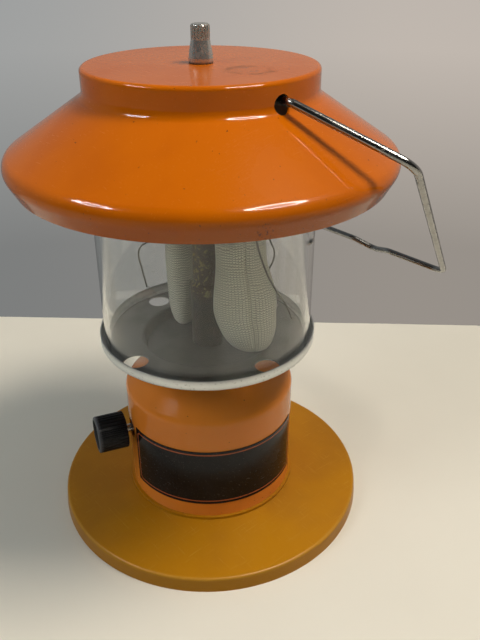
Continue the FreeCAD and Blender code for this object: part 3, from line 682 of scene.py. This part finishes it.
# %% Glass
CLEAR = (0.96, 0.97, 0.96)
SMOKED = (0.74, 0.72, 0.66)
GLASS_DIRT = (0.45, 0.43, 0.38)
glass = Finish("globe_glass", Transmission_Weight=1.0, IOR=1.46, Metallic=0.0)
glass_streak = glass.mask(STREAKS, Scale=60)
glass_speck = glass.mask(SPECKS, Scale=260, Shift=0.08)
glass.colour(CLEAR, (glass_streak, 0.45, SMOKED), (glass_speck, 0.5, GLASS_DIRT))
glass.level("Roughness", 0.0, (glass_streak, 0.06), (glass_speck, 0.2))
dress(glass, "globe")

# %% [markdown]
# ## Knit
# The mantles are knitted from a pale thread, in rows of small loops that wander up and down, and they
# are sooty near the neck.  Every loop could be a modelled thread, but there are thousands of them,
# each smaller than a pixel.  So the knit is a pattern on the cloth's own map, which follows the
# cloth, with a bump for the raised thread.

# %% Knit
KNIT_ROWS = 72.0
KNIT_STITCHES = 56.0
ROW_WANDER = 2.5
LOOP_RISE = 0.55
LOOP_OPEN = 0.6
LOOP_DEEPEST = 0.4


def make_knit():
    """Rows of small stitches on the cloth's own map, each row wavy; the mask is the raised thread."""
    group, entry, leave = new_group("knit", {"Rows": KNIT_ROWS, "Stitches": KNIT_STITCHES})
    across, along, _ = object_parts(group, coordinate="UV")

    def wave(turns):
        """Height that rises and falls once for each whole number."""
        angle = math_node(group, "MULTIPLY", turns, math.pi)
        return math_node(group, "ABSOLUTE", math_node(group, "SINE", angle))

    loop = wave(math_node(group, "MULTIPLY", across, entry.outputs["Stitches"]))
    row = math_node(group, "MULTIPLY", along, entry.outputs["Rows"])
    drift = add_node(group, "ShaderNodeTexNoise", {"Scale": 14.0, "Detail": 2.0})
    group.links.new(add_node(group, "ShaderNodeTexCoord").outputs["UV"], drift.inputs["Vector"])
    for source, amount in ((drift.outputs[0], ROW_WANDER), (loop, LOOP_RISE)):
        row = math_node(group, "ADD", row, math_node(group, "MULTIPLY", source, amount))
    bridge = ramp(group, loop, 0.0, LOOP_OPEN, to_low=LOOP_DEEPEST, to_high=1.0)
    group.links.new(math_node(group, "MULTIPLY", wave(row), bridge), leave.inputs["Mask"])
    return group


KNIT = make_knit()
print("group", KNIT.name, "of", len(KNIT.nodes), "nodes")

# %% Cloth
CLOTH_GAP = (0.10, 0.10, 0.06)
CLOTH_THREAD = (1.0, 0.98, 0.80)
CLOTH_STAIN = (0.52, 0.53, 0.40)
SOOT = (0.10, 0.10, 0.085)
SOOT_LOW, SOOT_HIGH = 0.178, 0.196
cloth = Finish("mantle_knit", Roughness=0.85, Specular_IOR_Level=0.2, Sheen_Weight=0.25)
stitches = cloth.mask(KNIT, Rows=KNIT_ROWS, Stitches=KNIT_STITCHES)
cloth_patch = cloth.mask(SMUDGES, Scale=60)
near_neck = ramp(cloth.tree, object_parts(cloth.tree)[2], SOOT_LOW, SOOT_HIGH)
soot = cloth.both(near_neck, cloth.mask(SMUDGES, Scale=70))
cloth.colour(CLOTH_GAP, (stitches, 1.0, CLOTH_THREAD), (cloth_patch, 0.30, CLOTH_STAIN),
             (soot, 0.9, SOOT))
cloth.relief(stitches, strength=0.6, depth=0.0005)
print("cloth", cloth.material.name, "sooty above", SOOT_LOW, "m")

# %% [markdown]
# ## Mantles
# A new mantle is a knitted sock, tied at its neck round the burner cap and hanging slack.  It could be a
# cloth simulation.  Moving points in code was chosen instead, because the bags hang free and their folds
# can be set one by one.  A mantle starts as a grid, whose one way runs round the sock and whose other
# way runs from the neck to the toe.  Every point is moved to its place on a list of rings, the two edges
# are merged, and a thin wall finishes it.

# %% Mantle rings
RINGS = {  # height, half width, half depth, shift across and shift back of each ring, in millimetres
    "front": [
        (211.0, 9.9, 9.9, 0, 0), (207.2, 8.9, 8.9, 0, 0), (203.0, 10.2, 9.9, 0, 0),
        (193.0, 12.4, 10.4, 0.4, 0), (182.0, 13.5, 10.8, 0.8, 0), (173.0, 13.7, 11.0, 1.1, 0),
        (165.0, 14.9, 11.2, 2.0, 0), (156.0, 16.6, 11.2, 3.0, 0), (147.0, 17.4, 11.0, 3.5, 0.3),
        (140.0, 17.2, 10.4, 3.8, 0.6), (132.0, 16.2, 9.6, 5.2, 0.8), (124.0, 13.8, 8.0, 6.4, 0.8),
        (118.6, 10.6, 6.0, 7.4, 0.8), (115.6, 6.2, 3.6, 8.2, 0.8), (114.8, 0, 0, 8.4, 0.8)],
    "back": [
        (211.0, 9.9, 9.9, 0, 0), (207.2, 8.9, 8.9, 0, 0), (203.0, 9.9, 10.2, 0, 0),
        (192.0, 9.8, 12.0, 0.6, 0), (181.0, 9.6, 13.8, 1.4, 0), (172.0, 9.4, 14.8, 2.0, 0),
        (163.0, 9.4, 15.6, 2.2, 0), (153.0, 9.2, 16.4, 2.1, 0), (140.0, 8.7, 16.8, 2.2, 0),
        (128.0, 8.3, 16.0, 2.2, 0), (119.5, 7.4, 13.2, 2.3, 0), (114.6, 5.4, 9.6, 2.4, 0),
        (112.6, 2.4, 4.4, 2.4, 0), (112.3, 0, 0, 2.4, 0)],
}


def between(rings, share):
    """Ring at a share of the way down, on a smooth curve through the listed rings."""
    step = share * (len(rings) - 1)
    first = min(int(step), len(rings) - 2)
    part = step - first
    a, b, c, d = (Vector(rings[max(0, min(len(rings) - 1, first + n))]) for n in (-1, 0, 1, 2))
    slope = (c - a) / 2
    bend = a - b * 2.5 + c * 2 - d / 2
    twist = b * 1.5 - a / 2 - c * 1.5 + d / 2
    return b + slope * part + bend * part ** 2 + twist * part ** 3


print("rings of each mantle", {side: len(rings) for side, rings in RINGS.items()})

# %% Even steps of cloth
FINE_STEPS = 400


def even_shares(rings, count):
    """Shares that step down the sock by even lengths of cloth, and its whole length."""
    spots = [between(rings, n / FINE_STEPS) for n in range(FINE_STEPS + 1)]
    lengths = [0.0]
    for before, after in zip(spots, spots[1:]):
        lengths.append(lengths[-1] + math.hypot(after[0] - before[0], after[1] - before[1]))
    shares, place = [], 0
    for n in range(count + 1):
        while place < FINE_STEPS and lengths[place] < lengths[-1] * n / count:
            place += 1
        shares.append(place / FINE_STEPS)
    return shares, lengths[-1] * MM


print("front mantle", round(even_shares(RINGS["front"], 1)[1], 4), "m down its side")

# %% Folds of the mantles
GATHER_COUNT, GATHER_DEPTH, GATHER_REACH = 13, 0.05, 0.35
SLACK_WAVES, SLACK_TWIST, SLACK_DEPTH = 3, 5, 0.035
TUCK_DEPTH, TUCK_WIDTH, TUCK_GROWTH = 0.24, 0.10, 3
TUCK_TURNS = {"front": math.radians(280), "back": math.radians(200)}


def swell(turn, along, tuck_turn):
    """Share by which a point stands out: gathers near the neck, slack waves, and one deep tuck."""
    gathers = GATHER_DEPTH * math.sin(GATHER_COUNT * turn) * max(0.0, 1 - along / GATHER_REACH)
    waves = math.sin(SLACK_WAVES * turn + SLACK_TWIST * along)
    slack = SLACK_DEPTH * waves * math.sin(along * math.pi)
    gap = math.atan2(math.sin(turn - tuck_turn), math.cos(turn - tuck_turn))
    tuck = -TUCK_DEPTH * math.exp(-(gap / TUCK_WIDTH) ** 2) * min(1.0, along * TUCK_GROWTH)
    return 1 + gathers + slack + tuck


for side, turn in TUCK_TURNS.items():
    print(side, "mantle is drawn in to", round(swell(turn, 0.5, turn), 3), "at its tuck")

# %% Mantle shape
ROUND_STEPS = 96
LENGTH_STEPS = 70
SEAM_GAP = 0.02 * MM
CLOTH_WALL = 0.35 * MM


def make_mantle(side):
    """Knitted sock hung from one burner cap, in place of its plain solid; returns it and its length."""
    rings = RINGS[side]
    shares, length = even_shares(rings, LENGTH_STEPS)
    cap_low, cap_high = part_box(f"burner_cap_{side}")
    centre = (cap_low + cap_high) / 2
    bpy.ops.object.select_all(action="DESELECT")
    bpy.ops.mesh.primitive_grid_add(x_subdivisions=ROUND_STEPS, y_subdivisions=LENGTH_STEPS, size=1)
    sock = bpy.context.object
    sock.name = f"mantle_{side}_knit"
    for vertex in sock.data.vertices:
        turn = (vertex.co.x + 0.5) * 2 * math.pi
        along = 0.5 - vertex.co.y
        height, width, depth, shift, back = between(rings, shares[round(along * LENGTH_STEPS)])
        out = swell(turn, along, TUCK_TURNS[side])
        spot = seen_from_camera(
            shift + width * out * math.cos(turn), back + depth * out * math.sin(turn), 0)
        vertex.co = Vector((centre.x, centre.y, 0)) + (spot + Vector((0, 0, height))) * MM
    bpy.ops.object.mode_set(mode="EDIT")
    bpy.ops.mesh.select_all(action="SELECT")
    bpy.ops.mesh.remove_doubles(threshold=SEAM_GAP)
    bpy.ops.mesh.normals_make_consistent(inside=False)
    bpy.ops.object.mode_set(mode="OBJECT")
    bpy.ops.object.shade_smooth()
    wall = sock.modifiers.new("wall", "SOLIDIFY")
    wall.thickness = CLOTH_WALL
    wall.offset = 0
    bpy.ops.object.modifier_apply(modifier=wall.name)
    sock.data.materials.append(cloth.material)
    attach(sock, "lantern")
    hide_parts(f"mantle_{side}")
    return sock, length


print("each mantle from a grid of", ROUND_STEPS, "by", LENGTH_STEPS)

# %% Both mantles
for side in RINGS:
    sock, length = make_mantle(side)

# %% [markdown]
# ## Thread finish
# The tie strings are dull grey-brown thread.  A twist could be modelled on them, but at a millimetre
# thick it is hardly seen, so soft darker patches along the thread are enough.

# %% Thread finish
THREAD = (0.17, 0.155, 0.125)
THREAD_DARK = (0.10, 0.09, 0.07)
thread_finish = Finish("tie_thread_finish", Roughness=0.8, Specular_IOR_Level=0.2)
thread_patch = thread_finish.mask(SMUDGES, Scale=300)
thread_finish.colour(THREAD, (thread_patch, 0.7, THREAD_DARK))
for thread in strings:
    thread.data.materials.append(thread_finish.material)
print(thread_finish.material.name, "on", ", ".join(thread.name for thread in strings))

# %% [markdown]
# ## Table
# The lantern stands on a plain pale table, which ends a little behind it.  An endless floor would be
# simpler, but the table's far edge crosses the picture, so it is a slab with a slight turn.  A table
# this pale would also throw more light up at the lantern than it should, so Light Path gives it a
# darker colour for light that bounces off it, while the camera still sees it pale.

# %% Table finish
TABLE_PALE = (0.79, 0.73, 0.62)
TABLE_PATCH = (0.75, 0.69, 0.585)
TABLE_BOUNCE = (0.34, 0.31, 0.26)
table_finish = Finish("pale_table", Roughness=0.55)
table_finish.colour(TABLE_PALE, (table_finish.mask(SMUDGES, Scale=6), 0.4, TABLE_PATCH))
table_tree = table_finish.tree
pale = table_finish.shader.outputs["BSDF"]
quiet = add_node(table_tree, "ShaderNodeBsdfDiffuse", {"Color": (*TABLE_BOUNCE, 1)})
bounce = add_node(table_tree, "ShaderNodeMixShader")
diffuse_ray = add_node(table_tree, "ShaderNodeLightPath").outputs["Is Diffuse Ray"]
for source, socket in zip((diffuse_ray, pale, quiet.outputs["BSDF"]), bounce.inputs):
    table_tree.links.new(source, socket)
table_tree.links.new(bounce.outputs[0], table_tree.nodes["Material Output"].inputs["Surface"])
print("table finish of", len(table_tree.nodes), "nodes")

# %% Table
TABLE_BACK = 0.218
TABLE_SIZE = 3.0
TABLE_THICKNESS = 0.03
TABLE_TURN = math.radians(-5.2)
half = TABLE_SIZE / 2
middle = seen_from_camera(
    half * math.sin(TABLE_TURN), TABLE_BACK - half * math.cos(TABLE_TURN), -TABLE_THICKNESS / 2)
bpy.ops.object.select_all(action="DESELECT")
bpy.ops.mesh.primitive_cube_add(size=1, location=middle, rotation=(0, 0, CAMERA_TURN + TABLE_TURN))
table = bpy.context.object
table.name = "table"
table.scale = (TABLE_SIZE, TABLE_SIZE, TABLE_THICKNESS)
bpy.ops.object.transform_apply(location=True, rotation=True, scale=True)
table.data.materials.append(table_finish.material)
print("table ends", TABLE_BACK, "m behind the lantern")

# %% [markdown]
# ## Lamps
# A warm lamp shines from overhead on the right and a weak cool one from the left, so that upright
# faces stay darker than the faces that look up.  The enamel also mirrors two bright curved tubes.
# One lamp could do both jobs, but then the highlights and the brightness of the paint would change
# together.  So two lamps only shine on the lantern, and two ring-shaped ones are only mirrored in it.

# %% Area lamps
LAMP_AIM = Vector((0, 0, 0.15))


def area_light(name, spot, size, power, colour, mirrored):
    """Soft light that looks at the lantern, either mirrored in its gloss or shining on it."""
    place = seen_from_camera(*spot)
    bpy.ops.object.light_add(type="AREA", location=place)
    lamp = bpy.context.object
    lamp.name = lamp.data.name = name
    lamp.data.shape = "RECTANGLE"
    lamp.data.size, lamp.data.size_y = size
    lamp.data.energy = power
    lamp.data.color = colour
    lamp.rotation_euler = (LAMP_AIM - place).to_track_quat("-Z", "Y").to_euler()
    lamp.visible_glossy = mirrored
    lamp.visible_diffuse = not mirrored
    return lamp.data


print("lamps look at", list(LAMP_AIM))

# %% Ring-shaped lamps
RING_INNER, RING_OUTER, RING_SOFT = 0.34, 0.49, 0.04
RING_MIDDLE = 0.5
RING_HOLLOW = 0.12


def ring_shaped(lamp):
    """Let a lamp shine along a ring and only weakly inside it, as a round tube does."""
    lamp.use_nodes = True
    tree = lamp.node_tree
    across = add_node(tree, "ShaderNodeSeparateXYZ")
    tree.links.new(add_node(tree, "ShaderNodeNewGeometry").outputs["Parametric"], across.inputs[0])
    sides = [math_node(tree, "SUBTRACT", across.outputs[n], RING_MIDDLE) for n in (0, 1)]
    from_middle = distance(tree, *sides)
    inside = ramp(tree, from_middle, RING_INNER - RING_SOFT, RING_INNER, RING_HOLLOW, 1.0)
    outside = ramp(tree, from_middle, RING_OUTER - RING_SOFT, RING_OUTER, 1.0, 0.0)
    strength = tree.nodes["Emission"].inputs["Strength"]
    tree.links.new(math_node(tree, "MULTIPLY", inside, outside), strength)


print("ring from", RING_INNER, "to", RING_OUTER, "of a lamp's width")

# %% Four lamps
WARM = (1.0, 0.93, 0.83)
WARM_TUBE = (1.0, 0.94, 0.85)
COOL = (0.95, 0.98, 1.0)
LAMPS = {
    "overhead": dict(
        spot=(0.58, -0.12, 1.46), size=(0.45, 0.45), power=17.6, colour=WARM, mirrored=False),
    "window": dict(
        spot=(-0.95, -0.45, 0.95), size=(0.50, 0.50), power=4.4, colour=COOL, mirrored=False),
    "right_glint": dict(
        spot=(0.58, -0.36, 1.30), size=(0.74, 0.46), power=62.0, colour=WARM_TUBE, mirrored=True),
    "left_glint": dict(
        spot=(-0.90, -0.28, 1.10), size=(0.52, 0.22), power=20.0, colour=COOL, mirrored=True),
}
for name, facts in LAMPS.items():
    lamp = area_light(name, **facts)
    if facts["mirrored"]:
        ring_shaped(lamp)
    print("lamp", lamp.name, lamp.energy, "W")

# %% [markdown]
# ## Room
# Behind the table is a plain grey wall, cooler on the left and darker low down and high up.  A wall
# could be a modelled sheet, but the world's own background does the same work from every side.  It
# has three shades: a soft ambient light for the surfaces, the wall for what is seen directly or
# through the glass, and a copy of the wall for the gloss, dark on the viewer's side.

# %% Ambient light
AMBIENT = (0.80, 0.95, 1.0)
AMBIENT_LOW = 0.33
AMBIENT_HIGH = 0.20
AMBIENT_TOP = 0.8
world = bpy.data.worlds.new("grey_room")
world.use_nodes = True
bpy.context.scene.world = world
room = world.node_tree
fill = room.nodes["Background"]
fill.inputs["Color"].default_value = (*AMBIENT, 1)
way = add_node(room, "ShaderNodeTexCoord").outputs["Generated"]
way_parts = add_node(room, "ShaderNodeSeparateXYZ")
room.links.new(way, way_parts.inputs[0])
upward = way_parts.outputs["Z"]
ambient = ramp(room, upward, 0.0, AMBIENT_TOP, AMBIENT_LOW, AMBIENT_HIGH)
room.links.new(ambient, fill.inputs["Strength"])
print("ambient light from", AMBIENT_LOW, "low down to", AMBIENT_HIGH, "high up")

# %% Wall
WALL_STOPS = (  # place from straight down, 0, to straight up, 1, and the wall's shade there
    (0.31, (0.31, 0.28, 0.25)), (0.43, (0.53, 0.475, 0.425)),
    (0.70, (0.44, 0.42, 0.40)), (0.92, (0.20, 0.20, 0.20)))
WALL_LEFT = (0.66, 0.75, 0.83)
LEFT_FADE = (-0.3, 0.3)


def lean(direction):
    """How far the world's direction leans towards a given one, from -1 to 1."""
    node = add_node(room, "ShaderNodeVectorMath", {1: direction}, operation="DOT_PRODUCT")
    room.links.new(way, node.inputs[0])
    return node.outputs["Value"]


shades = add_node(room, "ShaderNodeValToRGB")
while len(shades.color_ramp.elements) < len(WALL_STOPS):
    shades.color_ramp.elements.new(0.5)
for stop, (place, shade) in zip(shades.color_ramp.elements, WALL_STOPS):
    stop.position = place
    stop.color = (*shade, 1)
height = math_node(room, "MULTIPLY", math_node(room, "ADD", upward, 1.0), 0.5)
room.links.new(height, shades.inputs[0])
cool = add_node(room, "ShaderNodeMix", {7: (*WALL_LEFT, 1)}, data_type="RGBA", blend_type="MULTIPLY")
on_left = ramp(room, lean(seen_from_camera(1, 0, 0)), *LEFT_FADE, to_low=1.0, to_high=0.0)
room.links.new(on_left, cool.inputs[0])
room.links.new(shades.outputs["Color"], cool.inputs[6])
wall = add_node(room, "ShaderNodeBackground")
room.links.new(cool.outputs[2], wall.inputs["Color"])
print("wall of", len(shades.color_ramp.elements), "shades")

# %% What the gloss mirrors
NEAR_SIDE = 0.05
FAR_SIDE = 0.7
SIDE_FADE = (-0.35, 0.25)
mirrored = add_node(room, "ShaderNodeBackground")
room.links.new(cool.outputs[2], mirrored.inputs["Color"])
away = ramp(room, lean(seen_from_camera(0, 1, 0)), *SIDE_FADE, NEAR_SIDE, FAR_SIDE)
room.links.new(away, mirrored.inputs["Strength"])
print("mirrored wall from", NEAR_SIDE, "on the near side to", FAR_SIDE, "on the far side")

# %% Put the room together
path = add_node(room, "ShaderNodeLightPath").outputs
seen = math_node(room, "MAXIMUM", path["Is Camera Ray"], path["Is Transmission Ray"])
last = fill.outputs[0]
for share, shade in ((path["Is Glossy Ray"], mirrored), (seen, wall)):
    blend = add_node(room, "ShaderNodeMixShader")
    for source, socket in zip((share, last, shade.outputs[0]), blend.inputs):
        room.links.new(source, socket)
    last = blend.outputs[0]
room.links.new(last, room.nodes["World Output"].inputs["Surface"])
bpy.context.scene.view_settings.view_transform = "Standard"
print("room of", len(room.nodes), "nodes")
